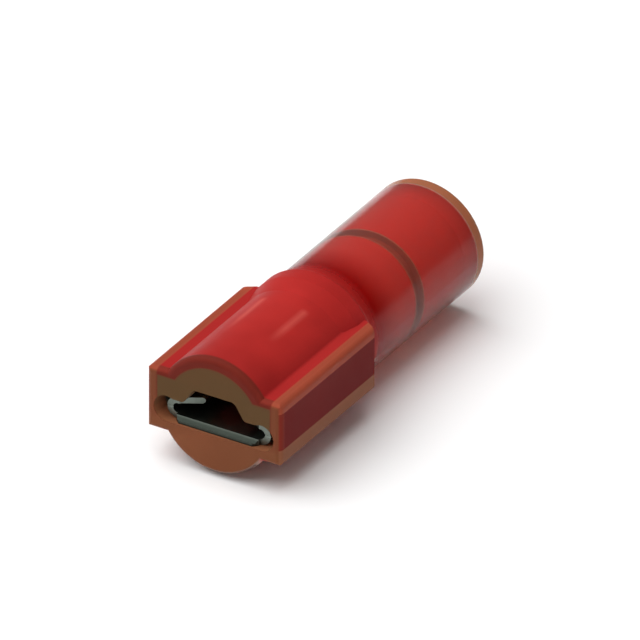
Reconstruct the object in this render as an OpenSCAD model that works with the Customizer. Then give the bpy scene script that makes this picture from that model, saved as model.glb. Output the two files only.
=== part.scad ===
// Fully insulated female spade terminal for a 4.8 mm wide, 0.5 mm thick tab.
// Frame: X across the tab, +Y from the mating face to the wire entry, +Z up.
// The origin is on the barrel axis, in the plane of the mating face.
// All lengths are in millimetres.

/* [Housing] */
// Overall length of the moulded housing
total_len = 19.7; // [19.4:0.1:20.6]
// Outer diameter of the crimping barrel, which runs the whole length
barrel_d = 6.26; // [6.1:0.02:6.5]
// Width of the flat box round the receptacle
box_w = 7.5; // [7.4:0.05:7.8]
// Thickness of the flat box
box_h = 3.38; // [3.2:0.02:3.6]
// Length of the flat box before its shoulders
box_len = 8.56; // [8.3:0.02:8.8]
// Rounding of the mating end
nose_round = 0.3; // [0.2:0.02:0.4]
// Rounding along the edges of the box
edge_round = 0.25; // [0.15:0.01:0.35]
// How far the collar behind the box stands off the barrel
collar_step = 0.23; // [0.15:0.01:0.3]
// Diameter of the two chambers inside the barrel
chamber_d = 3.7; // [3.7:0.02:3.8]
// Distance from the mating face to the web between the chambers
web_y = 14.42; // [14.3:0.02:14.5]
// Thickness of that web
web_t = 0.64; // [0.5:0.02:0.8]

/* [Receptacle slot] */
// Width of the opening in the mating face
slot_w = 6.7; // [6.3:0.02:6.76]
// Height of the round lobes at the ends of the opening
slot_h = 1.42; // [1.34:0.01:1.46]
// Height of the middle hump over the floor of the opening
hump_h = 2.2; // [2.18:0.01:2.3]

/* [Terminal] */
// Thickness of the brass strip
strip_t = 0.32; // [0.3:0.01:0.32]
// Width over the rolled rails
rail_w = 5.78; // [5.78:0.02:5.9]
// Room for the tab between the floor and the rail lips
tab_gap = 0.52; // [0.5:0.01:0.56]
// Width of each rail lip over the tab
lip_w = 1.16; // [0.9:0.02:1.3]
// How far the rails stand back from the mating face
recess = 0.5; // [0.4:0.05:0.7]
// How far the front edge of the floor stands back from the mating face
tongue = 0.12; // [0.06:0.02:0.2]
// Outer diameter of the wire barrel
wire_barrel_d = 2.14; // [2.1:0.01:2.14]

/* [Sleeve] */
// Outer diameter of the insulation support sleeve
sleeve_d = 3.68; // [3.5:0.02:3.68]
// Wall of the sleeve
sleeve_t = 0.25; // [0.2:0.01:0.3]
// How far the sleeve stops short of the wire end
sleeve_back = 0.6; // [0.5:0.05:0.6]

/* [Hidden] */
$fn = 96;

// Housing
R = barrel_d / 2;
rc = R + collar_step;
bx = box_w / 2;
bz = box_h / 2;
shoulder_y = box_len + 0.42;
shoulder_x = bx - 0.66;
collar_end = shoulder_y + 0.28;
collar_root = 0.3;
chamber_r = chamber_d / 2;
chamber_y0 = 7.2;
wire_rest_y = web_y + 0.3;
flare_y = total_len - 0.95;
flare_r = chamber_r + 0.45;
valley_r = 0.2;

// Slot
slot_z0 = -1.09;
slot_z1 = slot_z0 + slot_h;
lobe_r = slot_h / 2;
lobe_x = slot_w / 2 - lobe_r;
lobe_z = slot_z0 + lobe_r;
saddle_z = slot_z1 - 0.08;
hump_z = slot_z0 + hump_h;
hump_r = 0.36;
hump_cx = 0.96;
hump_cz = hump_z - hump_r;
hump_foot = 1.7;
slot_end = 7.3;
lip_round = 0.24;

// Terminal
wr = wire_barrel_d / 2;
wi = wr - strip_t;
floor_z = -wr;
curl_ri = tab_gap / 2;
curl_ro = curl_ri + strip_t;
curl_x = rail_w / 2 - curl_ro;
curl_z = floor_z + curl_ro;
rail_end = 6.95;
tongue_w = 2 * curl_x;
neck_w = 3.0;
wire_y0 = 8.4;
wire_y1 = wire_rest_y - 0.02;
dimple_y = 3.3;
dimple_r = 0.65;
dimple_h = 0.2;
dimple_s = (dimple_r * dimple_r + dimple_h * dimple_h) / (2 * dimple_h);
tab_z = floor_z + strip_t + tab_gap / 2;

// Sleeve
sr = sleeve_d / 2;
si = sr - sleeve_t;
sleeve_y0 = web_y + web_t + 0.02;
sleeve_y1 = total_len - sleeve_back;

// Extrudes a profile, drawn as X right and Z up, from y0 to y1
module along_y(y0, y1) {
    translate([0, y1, 0]) rotate([90, 0, 0]) linear_extrude(height = y1 - y0) children();
}

// Turns a profile, drawn as radius right and Y up, about the barrel axis
module turned() {
    rotate([-90, 0, 0]) rotate_extrude() children();
}

// A round bar on the barrel axis
module rod(r, y0, y1) {
    translate([0, y0, 0]) rotate([-90, 0, 0]) cylinder(r = r, h = y1 - y0);
}

// A cone on the barrel axis
module taper(r0, r1, y0, y1) {
    translate([0, y0, 0]) rotate([-90, 0, 0]) cylinder(r1 = r0, r2 = r1, h = y1 - y0);
}

// A rectangle with round corners, centred
module round_rect(w, h, r) {
    square([w - 2 * r, h], center = true);
    square([w, h - 2 * r], center = true);
    for (sx = [-1, 1], sz = [-1, 1])
        translate([sx * (w / 2 - r), sz * (h / 2 - r)]) circle(r = r);
}

// A strip of length len from 0 upward with its two lower corners rounded
module nosed(w, len, r) {
    translate([-w / 2 + r, 0]) square([w - 2 * r, len]);
    translate([-w / 2, r]) square([w, len - r]);
    for (s = [-1, 1]) translate([s * (w / 2 - r), r]) circle(r = r);
}

// The barrel with both rims rounded
module barrel_body() {
    rear = 0.24;
    turned() {
        square([R - nose_round, nose_round + 0.01]);
        translate([R - nose_round, nose_round]) intersection() {
            circle(r = nose_round);
            translate([0, -nose_round]) square([nose_round, nose_round]);
        }
        translate([0, nose_round]) square([R, total_len - nose_round - rear]);
        translate([0, total_len - rear - 0.01]) square([R - rear, rear + 0.01]);
        translate([R - rear, total_len - rear]) intersection() {
            circle(r = rear);
            square([rear, rear]);
        }
    }
}

// The collar behind the box: it rises from the front and runs out to the barrel in a hollow curve
module collar() {
    cr = 0.12;
    turned() {
        polygon([[R - 0.6, box_len - 1.3], [R - 0.02, box_len - 1.3], [rc, box_len - 0.2], [R - 0.6, box_len - 0.2]]);
        translate([0, box_len - 0.21]) square([rc, collar_end - box_len + 0.21 - cr]);
        translate([0, collar_end - cr - 0.01]) square([rc - cr, cr + 0.01]);
        translate([rc - cr, collar_end - cr]) intersection() {
            circle(r = cr);
            square([cr, cr]);
        }
        difference() {
            translate([R - 0.3, collar_end - 0.02]) square([0.3 + collar_step - cr, collar_root + 0.02]);
            translate([R + collar_root, collar_end + collar_root]) circle(r = collar_root);
        }
    }
}

// The flat box, rounded on every edge, with tapered shoulders
module flat_box() {
    intersection() {
        along_y(0, shoulder_y) round_rect(box_w, box_h, edge_round);
        translate([0, 0, -bz - 1]) linear_extrude(height = box_h + 2) {
            nosed(box_w, box_len, nose_round);
            polygon([[-bx, box_len - 0.01], [bx, box_len - 0.01], [shoulder_x, shoulder_y], [-shoulder_x, shoulder_y]]);
        }
        rotate([0, 90, 0]) translate([0, 0, -bx - 1]) linear_extrude(height = box_w + 2)
            nosed(box_h, shoulder_y + 1, nose_round);
    }
}

// Fillets in the four valleys between the barrel and the flat of the box
module valleys() {
    cz = bz + valley_r;
    cx = sqrt(pow(R + valley_r, 2) - pow(cz, 2));
    k = R / (R + valley_r);
    px = sqrt(R * R - bz * bz);
    for (sx = [-1, 1], sz = [-1, 1])
        along_y(nose_round, box_len - 0.05) scale([sx, sz]) difference() {
            polygon([[cx * k, cz * k], [cx, cz], [cx, bz - 0.2], [px - 0.4, bz - 0.2], [px - 0.4, bz]]);
            translate([cx, cz]) circle(r = valley_r);
        }
}

// Outline of the receptacle opening: two round lobes and a hump for the wire barrel
module slot_outline() {
    vx = hump_foot - hump_cx;
    vz = saddle_z - hump_cz;
    vd = sqrt(vx * vx + vz * vz);
    ta = atan2(vz, vx) + acos(hump_r / vd);
    tx = hump_cx + hump_r * cos(ta);
    tz = hump_cz + hump_r * sin(ta);
    fa = atan2(tz - saddle_z, tx - hump_foot);
    e = lip_round / tan(fa / 2);
    fx = hump_foot + e;
    fz = saddle_z + lip_round;
    translate([-lobe_x, slot_z0]) square([2 * lobe_x, saddle_z - slot_z0]);
    for (sx = [-1, 1]) scale([sx, 1]) {
        translate([lobe_x, lobe_z]) circle(r = lobe_r);
        translate([hump_cx, hump_cz]) circle(r = hump_r);
        difference() {
            polygon([[0, saddle_z - 0.1], [fx, saddle_z - 0.1], [fx, saddle_z], [fx, fz], [hump_foot + e * cos(fa), saddle_z + e * sin(fa)], [tx, tz], [0, tz]]);
            translate([fx, fz]) circle(r = lip_round);
        }
    }
    translate([-hump_cx, hump_cz]) square([2 * hump_cx, hump_r]);
}

// Everything that is hollow in the housing
module housing_cores() {
    along_y(-1, slot_end) slot_outline();
    rod(chamber_r, chamber_y0, web_y);
    rod(wr + 0.02, web_y - 0.1, wire_rest_y);
    rod(wi + 0.2, wire_rest_y - 0.1, web_y + web_t);
    taper(wi + 0.2, wi + 0.55, wire_rest_y + 0.06, web_y + web_t);
    rod(chamber_r, web_y + web_t, flare_y + 0.01);
    taper(chamber_r, flare_r, flare_y, total_len + 0.001);
    taper(flare_r, flare_r + 0.2, total_len - 0.12, total_len + 0.08);
}

// One-piece moulded nylon housing
module housing() {
    color([0.72, 0.13, 0.10, 0.75]) difference() {
        union() {
            barrel_body();
            collar();
            flat_box();
            valleys();
        }
        housing_cores();
    }
}

// Section of the rolled receptacle: floor, two curls and two lips
module rail_section() {
    translate([-curl_x, floor_z]) square([2 * curl_x, strip_t]);
    for (sx = [-1, 1]) scale([sx, 1]) {
        difference() {
            translate([curl_x, curl_z]) circle(r = curl_ro);
            translate([curl_x, curl_z]) circle(r = curl_ri);
            translate([curl_x - 2, curl_z - 2]) square([2, 4]);
        }
        translate([curl_x - lip_w + strip_t / 2, curl_z + curl_ri]) square([lip_w - strip_t / 2, strip_t]);
        translate([curl_x - lip_w + strip_t / 2, curl_z + curl_ri + strip_t / 2]) circle(r = strip_t / 2);
    }
}

// Stamped and folded receptacle and wire barrel, one strip of tinned brass
module terminal() {
    y0 = recess;
    color([0.78, 0.77, 0.74]) difference() {
        union() {
            // Rolled receptacle
            difference() {
                along_y(y0, rail_end) rail_section();
                // Lead-in cut across the front corner of each lip
                for (sx = [-1, 1]) scale([sx, 1, 1])
                    translate([0, y0, curl_z + curl_ri - 0.1]) linear_extrude(height = 1)
                        polygon([[curl_x - lip_w - 0.3, -0.2], [curl_x + 0.12, -0.2], [curl_x - 0.2, 0.12], [curl_x - lip_w - 0.3, 0.85]]);
                // Rear corner of each lip
                for (sx = [-1, 1]) scale([sx, 1, 1])
                    translate([0, rail_end, curl_z + curl_ri - 0.1]) linear_extrude(height = 1)
                        polygon([[curl_x - lip_w - 0.3, 0.2], [curl_x - 0.3, 0.2], [curl_x - lip_w - 0.3, -0.5]]);
            }
            // Floor carried forward of the rails, with cut corners
            translate([0, 0, floor_z]) linear_extrude(height = strip_t)
                polygon([[-tongue_w / 2, y0 + 0.1], [-tongue_w / 2, tongue + 0.25], [-tongue_w / 2 + 0.25, tongue], [tongue_w / 2 - 0.25, tongue], [tongue_w / 2, tongue + 0.25], [tongue_w / 2, y0 + 0.1]]);
            // Detent that drops into the hole of the tab
            intersection() {
                translate([0, dimple_y, floor_z + strip_t + dimple_h - dimple_s]) sphere(r = dimple_s);
                translate([-1, dimple_y - 1, floor_z + strip_t - 0.1]) cube([2, 2, 1]);
            }
            // Floor carried back to the neck
            translate([-neck_w / 2, rail_end - 0.2, floor_z]) cube([neck_w, 0.3, strip_t]);
            // Neck: the strip rises at its sides and closes into the wire barrel
            difference() {
                hull() {
                    translate([-neck_w / 2, rail_end, floor_z]) cube([neck_w, 0.05, strip_t]);
                    translate([0, wire_y0, 0]) rotate([-90, 0, 0]) cylinder(r = wr, h = 0.05, $fn = 32);
                }
                hull() {
                    translate([-neck_w / 2 + strip_t, rail_end - 0.02, floor_z + strip_t]) cube([neck_w - 2 * strip_t, 0.05, 2.2]);
                    translate([0, wire_y0 + 0.02, 0]) rotate([-90, 0, 0]) cylinder(r = wi, h = 0.2, $fn = 32);
                }
            }
            // Wire barrel
            difference() {
                rod(wr, wire_y0, wire_y1);
                rod(wi, wire_y0 - 1, wire_y1 + 1);
                // Round grooves that hold the strands
                for (k = [0:2]) turned() translate([wi, 10 + 1.5 * k]) circle(r = 0.1);
                // Bevel at the mouth
                taper(wi, wi + 0.12, wire_y1 - 0.12, wire_y1 + 0.001);
                // Butt seam
                translate([-0.03, wire_y0 - 1, 0]) cube([0.06, 12, 3]);
            }
        }
        // Back of the detent
        translate([0, dimple_y, floor_z + strip_t + dimple_h - dimple_s]) sphere(r = dimple_s - strip_t);
        // Coined edge of the floor, where the tab first touches
        translate([-4, tongue, floor_z + strip_t]) rotate([-35, 0, 0]) translate([0, -1, -0.12]) cube([8, 1.2, 0.6]);
    }
}

// Drawn tube that grips the insulation of the wire
module insulation_sleeve() {
    lip = 0.35;
    color([0.80, 0.74, 0.66]) turned() difference() {
        union() {
            translate([si, sleeve_y0]) square([sleeve_t, sleeve_y1 - lip - sleeve_y0]);
            polygon([[si, sleeve_y1 - lip - 0.01], [sr, sleeve_y1 - lip - 0.01], [sr, sleeve_y1 - lip], [sr + 0.15, sleeve_y1], [si + 0.17, sleeve_y1], [si, sleeve_y1 - lip]]);
        }
        translate([si - 0.1, sleeve_y0 - 0.1]) polygon([[0, 0], [0.2, 0], [0, 0.2]]);
    }
}

housing();
terminal();
insulation_sleeve();
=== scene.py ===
import math
import bpy
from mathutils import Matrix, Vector


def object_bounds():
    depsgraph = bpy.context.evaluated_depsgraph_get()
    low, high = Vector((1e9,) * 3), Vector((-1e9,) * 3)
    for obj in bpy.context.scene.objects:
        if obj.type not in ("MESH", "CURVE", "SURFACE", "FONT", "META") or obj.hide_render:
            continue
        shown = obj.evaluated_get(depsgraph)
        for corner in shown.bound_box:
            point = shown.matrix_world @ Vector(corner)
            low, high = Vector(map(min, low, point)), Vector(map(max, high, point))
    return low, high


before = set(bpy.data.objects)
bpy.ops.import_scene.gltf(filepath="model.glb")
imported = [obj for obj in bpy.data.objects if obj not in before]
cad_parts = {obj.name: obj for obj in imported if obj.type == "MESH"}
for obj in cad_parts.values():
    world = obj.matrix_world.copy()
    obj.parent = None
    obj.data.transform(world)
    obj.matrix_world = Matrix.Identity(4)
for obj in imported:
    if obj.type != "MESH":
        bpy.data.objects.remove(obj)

CAD_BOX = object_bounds()
scene = bpy.context.scene

# ---------------------------------------------------------------- camera
# Parallel view, turned 31.55 degrees to the part's right and raised 30.94 degrees.
AZ, EL = math.radians(31.55), math.radians(30.94)
BACK = Vector((math.cos(EL) * math.sin(AZ), -math.cos(EL) * math.cos(AZ), math.sin(EL)))
TARGET = Vector((0.0, 0.009703, 0.00042))
cam_data = bpy.data.cameras.new("camera")
cam = bpy.data.objects.new("camera", cam_data)
scene.collection.objects.link(cam)
cam_data.type = "ORTHO"
cam_data.ortho_scale = 0.030516
cam.location = TARGET + BACK * 0.25
cam.rotation_mode = "QUATERNION"
cam.rotation_quaternion = (-BACK).to_track_quat("-Z", "Y")
cam_data.clip_start, cam_data.clip_end = 0.005, 5.0
scene.camera = cam


# ---------------------------------------------------------------- node helpers
class Tree:
    """Short names for building a material's nodes."""

    def __init__(self, name):
        self.mat = bpy.data.materials.new(name)
        self.mat.use_nodes = True
        self.nt = self.mat.node_tree
        self.nt.nodes.clear()
        self.out = self.nt.nodes.new("ShaderNodeOutputMaterial")
        self.at = 0

    def new(self, kind, **values):
        n = self.nt.nodes.new(kind)
        self.at += 1
        n.location = (-220 * (self.at % 9), -170 * (self.at // 9))
        for k, v in values.items():
            setattr(n, k, v)
        return n

    def link(self, a, b):
        self.nt.links.new(a, b)

    def put(self, value, socket):
        if hasattr(value, "links"):
            self.link(value, socket)
        else:
            socket.default_value = value

    def coords(self):
        return self.new("ShaderNodeTexCoord").outputs["Object"]

    def mapped(self, vec, scale=(1, 1, 1), move=(0, 0, 0)):
        m = self.new("ShaderNodeMapping")
        m.inputs["Scale"].default_value = scale
        m.inputs["Location"].default_value = move
        self.link(vec, m.inputs["Vector"])
        return m.outputs["Vector"]

    def noise(self, vec, scale, detail=4.0, rough=0.55, distortion=0.0):
        n = self.new("ShaderNodeTexNoise")
        n.inputs["Scale"].default_value = scale
        n.inputs["Detail"].default_value = detail
        n.inputs["Roughness"].default_value = rough
        n.inputs["Distortion"].default_value = distortion
        self.link(vec, n.inputs["Vector"])
        return n.outputs["Fac"]

    def voronoi(self, vec, scale, feature="F1"):
        n = self.new("ShaderNodeTexVoronoi", feature=feature)
        n.inputs["Scale"].default_value = scale
        self.link(vec, n.inputs["Vector"])
        return n.outputs["Distance"]

    def ramp(self, fac, stops, interp="LINEAR"):
        n = self.new("ShaderNodeValToRGB")
        r = n.color_ramp
        r.interpolation = interp
        while len(r.elements) < len(stops):
            r.elements.new(0.5)
        for e, (pos, col) in zip(r.elements, stops):
            e.position = pos
            e.color = col if len(col) == 4 else (*col, 1)
        self.link(fac, n.inputs["Fac"])
        return n.outputs["Color"]

    def math(self, op, a, b=None, c=None, clamp=False):
        n = self.new("ShaderNodeMath", operation=op, use_clamp=clamp)
        self.put(a, n.inputs[0])
        if b is not None:
            self.put(b, n.inputs[1])
        if c is not None:
            self.put(c, n.inputs[2])
        return n.outputs[0]

    def remap(self, v, a, b, c, d, smooth=False):
        n = self.new("ShaderNodeMapRange")
        n.interpolation_type = "SMOOTHSTEP" if smooth else "LINEAR"
        n.clamp = True
        self.put(v, n.inputs["Value"])
        for name, x in (("From Min", a), ("From Max", b), ("To Min", c), ("To Max", d)):
            n.inputs[name].default_value = x
        return n.outputs["Result"]

    def mix(self, fac, a, b, mode="MIX"):
        n = self.new("ShaderNodeMix", data_type="RGBA", blend_type=mode)
        n.clamp_factor = True
        self.put(fac, n.inputs[0])
        self.put(a, n.inputs[6])
        self.put(b, n.inputs[7])
        return n.outputs[2]

    def bump(self, height, strength, distance, normal=None):
        n = self.new("ShaderNodeBump")
        n.inputs["Strength"].default_value = strength
        n.inputs["Distance"].default_value = distance
        self.link(height, n.inputs["Height"])
        if normal is not None:
            self.link(normal, n.inputs["Normal"])
        return n.outputs["Normal"]

    def split(self, vec):
        n = self.new("ShaderNodeSeparateXYZ")
        self.link(vec, n.inputs[0])
        return n.outputs[0], n.outputs[1], n.outputs[2]


def mm(v):
    return v * 0.001


def nylon():
    """Translucent moulded nylon. The skin is clear over the barrel and milky over the box, and the inner walls are a saturated red. Each zone is set by its position on the part."""
    t = Tree("nylon_red")
    p = t.new("ShaderNodeBsdfPrincipled")
    p.inputs["IOR"].default_value = 1.36
    co = t.coords()
    x, y, z = t.split(co)
    ax = t.math("ABSOLUTE", x)
    az = t.math("ABSOLUTE", z)
    r = t.math("SQRT", t.math("ADD", t.math("MULTIPLY", x, x), t.math("MULTIPLY", z, z)))

    def below(v, edge, soft=0.02):
        return t.remap(v, mm(edge - soft), mm(edge + soft), 1.0, 0.0)

    def above(v, edge, soft=0.02):
        return t.remap(v, mm(edge - soft), mm(edge + soft), 0.0, 1.0)

    def both(*m):
        out = m[0]
        for k in m[1:]:
            out = t.math("MULTIPLY", out, k)
        return out

    def either(a, b):
        return t.math("MAXIMUM", a, b)

    def but(a, b):
        return t.math("MULTIPLY", a, t.math("SUBTRACT", 1.0, b))

    def part(mask, other, share):
        """share where the mask is on, other where it is off."""
        return t.math("ADD", t.math("MULTIPLY", mask, share), t.math("MULTIPLY", t.math("SUBTRACT", 1.0, mask), other))

    # where the inner walls are
    slot = both(above(y, 0.04, 0.02), below(y, 7.34), below(ax, 3.42), below(az, 1.22))
    bore = both(above(y, 7.1), below(r, 2.0))
    flare = both(above(y, 18.7), below(r, 2.62))
    web = both(above(y, 14.36), below(y, 15.12), below(r, 2.0))
    wall = but(either(slot, either(bore, flare)), web)
    lead = both(slot, below(y, 1.05, 0.12))
    # painted shade: the slot's walls in the first 2.2 mm of the opening are painted a dark grey, as shade down in the
    # recess
    painted_shade_deep = both(slot, below(y, 2.2, 0.4))

    # the milky part of the skin, over the receptacle: all of the box but its thin edges and its underside
    box = below(y, 9.8, 0.5)
    # the skin keeps its red until it has turned clear, so that no pale ring shows between the two
    tinted = but(both(below(y, 11.2, 0.9), above(z, -0.82, 0.04)), either(slot, bore))
    edge = both(above(ax, 3.2, 0.05), above(az, 1.2), below(y, 9.2))
    ledge = both(box, above(ax, 2.45, 0.2), below(y, 9.2))
    # painted shade: the sides of the box are painted a dark maroon, as if they stood in shade
    painted_shade_side = both(box, above(ax, 3.55, 0.1))
    foot = both(box, below(z, -0.82, 0.04), above(ax, 3.0, 0.1))
    milk = but(but(both(box, above(z, -0.82, 0.04)), edge), either(slot, bore))
    nose = both(below(y, 0.36, 0.06), above(z, -0.9, 0.2))
    roof = both(slot, above(z, 0.22, 0.08), below(y, 2.6, 0.3))
    # a painted highlight: a pale wedge on the top of the box, where the lip of a rail would glint through
    painted_highlight_wedge = both(above(z, 2.0), above(ax, 1.02, 0.12), below(ax, 1.30, 0.12), above(y, 3.9, 0.7), below(y, 6.5, 0.15))
    rim = above(y, 18.98, 0.06)

    # the front face: its middle lies over the opening and is painted olive, as painted shade from the dark hollow
    # behind; its lower part and its ends are painted peach, as painted light from the floor glowing through; its
    # border runs along the wall
    face = below(y, 0.05, 0.03)
    arch = below(r, 2.56, 0.05)
    flat = both(below(ax, 3.16, 0.05), below(az, 1.36, 0.05))
    middle = either(arch, flat)
    low = below(z, -0.55, 0.5)
    ends = t.math("MULTIPLY", above(ax, 3.2, 0.06), 0.75)

    fine = t.noise(co, 9000.0, 3.0)
    broad = t.noise(co, 420.0, 4.0, 0.6)
    flow = t.noise(t.mapped(co, (900, 120, 900)), 1.0, 4.0, 0.6, 0.6)
    cloud = t.noise(co, 230.0, 2.0)

    core = t.mix(cloud, (0.90, 0.030, 0.030, 1), (0.97, 0.042, 0.040, 1))
    skin = t.mix(flow, (0.92, 0.74, 0.60, 1), (0.97, 0.80, 0.66, 1))
    milky = t.mix(t.remap(cloud, 0.3, 0.7, 0.0, 1.0), (0.41, 0.022, 0.020, 1), (0.58, 0.034, 0.030, 1))
    # partly real translucency and partly painted light: orange-brown for the box's thin edges, as light from the floor
    # glowing through them
    glow_edged = t.mix(flow, (0.48, 0.092, 0.048, 1), (0.58, 0.118, 0.060, 1))
    # painted shade: the dark maroon for the sides of the box
    shaded_maroon = t.mix(cloud, (0.150, 0.010, 0.010, 1), (0.200, 0.014, 0.012, 1))
    # painted shade (olive) and painted light (peach) for the front face
    shaded_olive = t.mix(broad, (0.150, 0.085, 0.036, 1), (0.185, 0.100, 0.042, 1))
    glow_peach = t.mix(broad, (0.27, 0.092, 0.040, 1), (0.32, 0.112, 0.050, 1))
    border = t.mix(broad, (0.20, 0.026, 0.018, 1), (0.25, 0.034, 0.022, 1))

    front = t.mix(middle, border, shaded_olive)
    front = t.mix(either(low, ends), front, glow_peach)
    col = t.mix(tinted, skin, milky)
    col = t.mix(ledge, col, t.mix(cloud, (0.36, 0.018, 0.018, 1), (0.44, 0.026, 0.024, 1)))
    col = t.mix(painted_shade_side, col, shaded_maroon)
    # painted highlight: the pale wedge is mixed in over the top of the box
    col = t.mix(t.math("MULTIPLY", painted_highlight_wedge, 0.55), col, (0.80, 0.14, 0.11, 1))
    col = t.mix(but(nose, slot), col, border)
    # painted light: orange-brown on the box's thin edges, its foot and the rear rim, as the floor's light glowing
    # through the thin wall; these zones also let some light through
    col = t.mix(both(box, edge), col, glow_edged)
    col = t.mix(foot, col, (0.42, 0.16, 0.08, 1))
    col = t.mix(rim, col, t.mix(flow, (0.42, 0.17, 0.08, 1), (0.52, 0.22, 0.11, 1)))
    col = t.mix(wall, col, core)
    col = t.mix(web, col, (0.72, 0.26, 0.20, 1))
    # painted shade inside the opening
    col = t.mix(painted_shade_deep, col, (0.130, 0.140, 0.112, 1))
    # painted light: the walls at the mouth of the opening and the slot's roof near the front are painted a light
    # brown, as the glow of light coming through the thin nylon wall, lighter towards the bottom
    painted_glow_within = t.mix(below(z, -0.2, 0.5), (0.22, 0.13, 0.065, 1), (0.36, 0.14, 0.065, 1))
    col = t.mix(either(lead, roof), col, painted_glow_within)
    col = t.mix(face, col, front)
    t.put(col, p.inputs["Base Color"])

    # how much passes through
    clear = part(milk, 0.97, 0.34)
    clear = part(ledge, clear, 0.12)
    clear = part(painted_shade_side, clear, 0.12)
    clear = part(both(box, edge), clear, 0.45)
    clear = part(foot, clear, 0.45)
    clear = part(rim, clear, 0.45)
    clear = part(either(wall, web), clear, 0.0)
    clear = part(either(lead, roof), clear, 0.2)
    clear = part(face, clear, 0.42)
    t.put(clear, p.inputs["Transmission Weight"])

    satin = t.remap(t.math("ADD", broad, t.math("MULTIPLY", fine, 0.5)), 0.5, 1.0, 0.38, 0.50)
    glossy = t.remap(broad, 0.3, 0.7, 0.14, 0.20)
    t.put(t.math("ADD", t.math("MULTIPLY", satin, box), t.math("MULTIPLY", glossy, t.math("SUBTRACT", 1.0, box))), p.inputs["Roughness"])
    p.inputs["Specular IOR Level"].default_value = 0.05
    p.inputs["Specular Tint"].default_value = (0.15, 0.08, 0.06, 1)
    b1 = t.bump(broad, 0.06, 0.0002)
    b2 = t.bump(flow, 0.08, 0.00006, b1)
    t.put(t.bump(fine, 0.05, 0.00001, b2), p.inputs["Normal"])
    t.link(p.outputs[0], t.out.inputs["Surface"])
    v = t.new("ShaderNodeVolumeAbsorption")
    v.inputs["Color"].default_value = (0.74, 0.28, 0.08, 1)
    v.inputs["Density"].default_value = 540.0
    t.link(v.outputs[0], t.out.inputs["Volume"])
    return t.mat


def tin(name, dark=(0.16, 0.17, 0.155, 1), light=(0.30, 0.31, 0.285, 1)):
    """Dull tin plate, with drawing lines along its length and darker blotches, and painted shade towards its front
    end.
    """
    t = Tree(name)
    p = t.new("ShaderNodeBsdfPrincipled")
    p.inputs["Metallic"].default_value = 1.0
    co = t.coords()
    blotch = t.noise(co, 900.0, 5.0)
    lines = t.noise(t.mapped(co, (6000, 400, 6000)), 1.0, 3.0)
    pits = t.noise(co, 7000.0, 4.0, 0.7)
    y = t.split(co)[1]
    plate = t.mix(t.remap(blotch, 0.35, 0.7, 0, 1), dark, light)
    # painted shade: the plate is painted darker over its front 3 to 6 mm, and darker still on its front edge, as shade
    # inside the opening
    plate = t.mix(t.remap(y, 0.003, 0.006, 1.0, 0.0), plate, t.mix(blotch, (0.120, 0.140, 0.120, 1), (0.190, 0.215, 0.185, 1)))
    t.put(t.mix(t.remap(y, 0.00030, 0.00045, 1.0, 0.0), plate, (0.050, 0.060, 0.050, 1)), p.inputs["Base Color"])
    t.put(t.remap(t.math("ADD", lines, t.math("MULTIPLY", blotch, 0.6)), 0.5, 1.1, 0.28, 0.46), p.inputs["Roughness"])
    t.put(t.bump(pits, 0.12, 0.00001, t.bump(lines, 0.2, 0.00002)), p.inputs["Normal"])
    t.link(p.outputs[0], t.out.inputs["Surface"])
    return t.mat


MATS = {"housing": nylon(), "terminal": tin("tinned_brass"), "insulation_sleeve": tin("tinned_copper", (0.16, 0.14, 0.11, 1), (0.30, 0.27, 0.22, 1))}
for name, mat in MATS.items():
    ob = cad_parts[name]
    ob.data.materials.clear()
    ob.data.materials.append(mat)

# ---------------------------------------------------------------- floor and light
FLOOR = CAD_BOX[0].z


def floor():
    me = bpy.data.meshes.new("floor")
    s = 0.6
    me.from_pydata([(-s, -s, FLOOR), (s, -s, FLOOR), (s, s, FLOOR), (-s, s, FLOOR)], [], [(0, 1, 2, 3)])
    ob = bpy.data.objects.new("floor", me)
    scene.collection.objects.link(ob)
    t = Tree("pale_floor")
    p = t.new("ShaderNodeBsdfPrincipled")
    p.inputs["Roughness"].default_value = 0.9
    p.inputs["Base Color"].default_value = (0.93, 0.93, 0.93, 1)
    t.link(p.outputs[0], t.out.inputs["Surface"])
    me.materials.append(t.mat)


floor()


def lamp(name, where, at, size, power):
    d = bpy.data.lights.new(name, "AREA")
    d.shape = "DISK"
    d.size = size
    d.energy = power
    o = bpy.data.objects.new(name, d)
    scene.collection.objects.link(o)
    o.location = where
    o.rotation_mode = "QUATERNION"
    o.rotation_quaternion = (Vector(at) - Vector(where)).to_track_quat("-Z", "Y")
    return o


MID = (0, 0.0098, 0)
# The key comes from the upper left, in front, so that no streak of it shows along the barrel.
lamp("key", (-0.16, -0.14, 0.56), MID, 0.90, 5.1)


def studio():
    """A soft surround: bright in front and on the left, dim behind and on the right."""
    w = bpy.data.worlds.new("studio")
    w.use_nodes = True
    nt = w.node_tree
    nt.nodes.clear()
    out = nt.nodes.new("ShaderNodeOutputWorld")
    bg = nt.nodes.new("ShaderNodeBackground")
    tc = nt.nodes.new("ShaderNodeTexCoord")
    dot = nt.nodes.new("ShaderNodeVectorMath")
    dot.operation = "DOT_PRODUCT"
    dot.inputs[1].default_value = (-0.50, -0.62, 0.60)
    nt.links.new(tc.outputs["Generated"], dot.inputs[0])
    mr = nt.nodes.new("ShaderNodeMapRange")
    mr.inputs["From Min"].default_value = -0.5
    mr.inputs["From Max"].default_value = 0.8
    mr.inputs["To Min"].default_value = 0.10
    mr.inputs["To Max"].default_value = 0.65
    nt.links.new(dot.outputs["Value"], mr.inputs["Value"])
    nt.links.new(mr.outputs["Result"], bg.inputs["Strength"])
    nt.links.new(bg.outputs[0], out.inputs["Surface"])
    return w


scene.world = studio()
scene.view_settings.view_transform = "Standard"
scene.cycles.use_denoising = True
scene.cycles.max_bounces = 16
scene.cycles.transmission_bounces = 16
scene.cycles.glossy_bounces = 8
